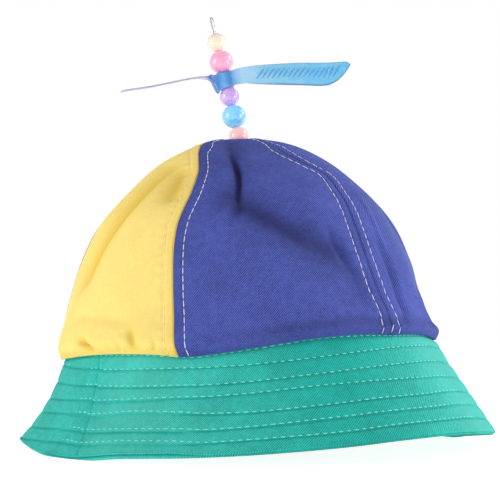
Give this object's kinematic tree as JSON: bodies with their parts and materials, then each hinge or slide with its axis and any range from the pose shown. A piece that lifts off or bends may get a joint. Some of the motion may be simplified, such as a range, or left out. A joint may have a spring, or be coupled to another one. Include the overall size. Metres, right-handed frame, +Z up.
{
  "type": "propeller sun hat",
  "caption": "Soft round cotton sun hat with coloured crown panels, a stitched sloping brim, and a beaded stem that carries a spinning plastic propeller.",
  "frame": {"origin": "on the surface that the brim rests on, under the middle of the brim", "axes": "+Z up, -Y towards the picture's camera, +X to the picture's right"},
  "size_m": [0.2332, 0.2332, 0.2174],
  "materials": {
    "yellow_cloth": "matt cotton twill",
    "blue_cloth": "matt cotton twill",
    "red_cloth": "matt cotton twill",
    "green_cloth": "matt stitched cotton twill",
    "coral_bead": "pearly gloss",
    "blue_bead": "pearly gloss",
    "purple_bead": "pearly gloss",
    "pink_bead": "pearly gloss",
    "cream_bead": "pearly gloss",
    "steel_wire": "drawn wire",
    "blue_plastic": "clear tinted sheet"
  },
  "bodies": {
    "hat": {"crown_yellow_left": "yellow_cloth", "crown_blue_front": "blue_cloth", "crown_blue_right": "blue_cloth", "crown_yellow_back": "yellow_cloth", "crown_red_back": "red_cloth", "crown_red_left": "red_cloth", "brim": "green_cloth", "bead_coral": "coral_bead", "bead_blue": "blue_bead", "bead_purple": "purple_bead", "bead_pink": "pink_bead", "bead_cream": "cream_bead", "stem_wire": "steel_wire"},
    "propeller": {"propeller": "blue_plastic"}
  },
  "joints": [
    {"name": "propeller_spin", "type": "hinge", "parent": "hat", "child": "propeller", "pos_m": [-0.01614, 0.00789, 0.18357], "axis": [-0.22, 0.139, 0.9655], "continuous": true}
  ]
}
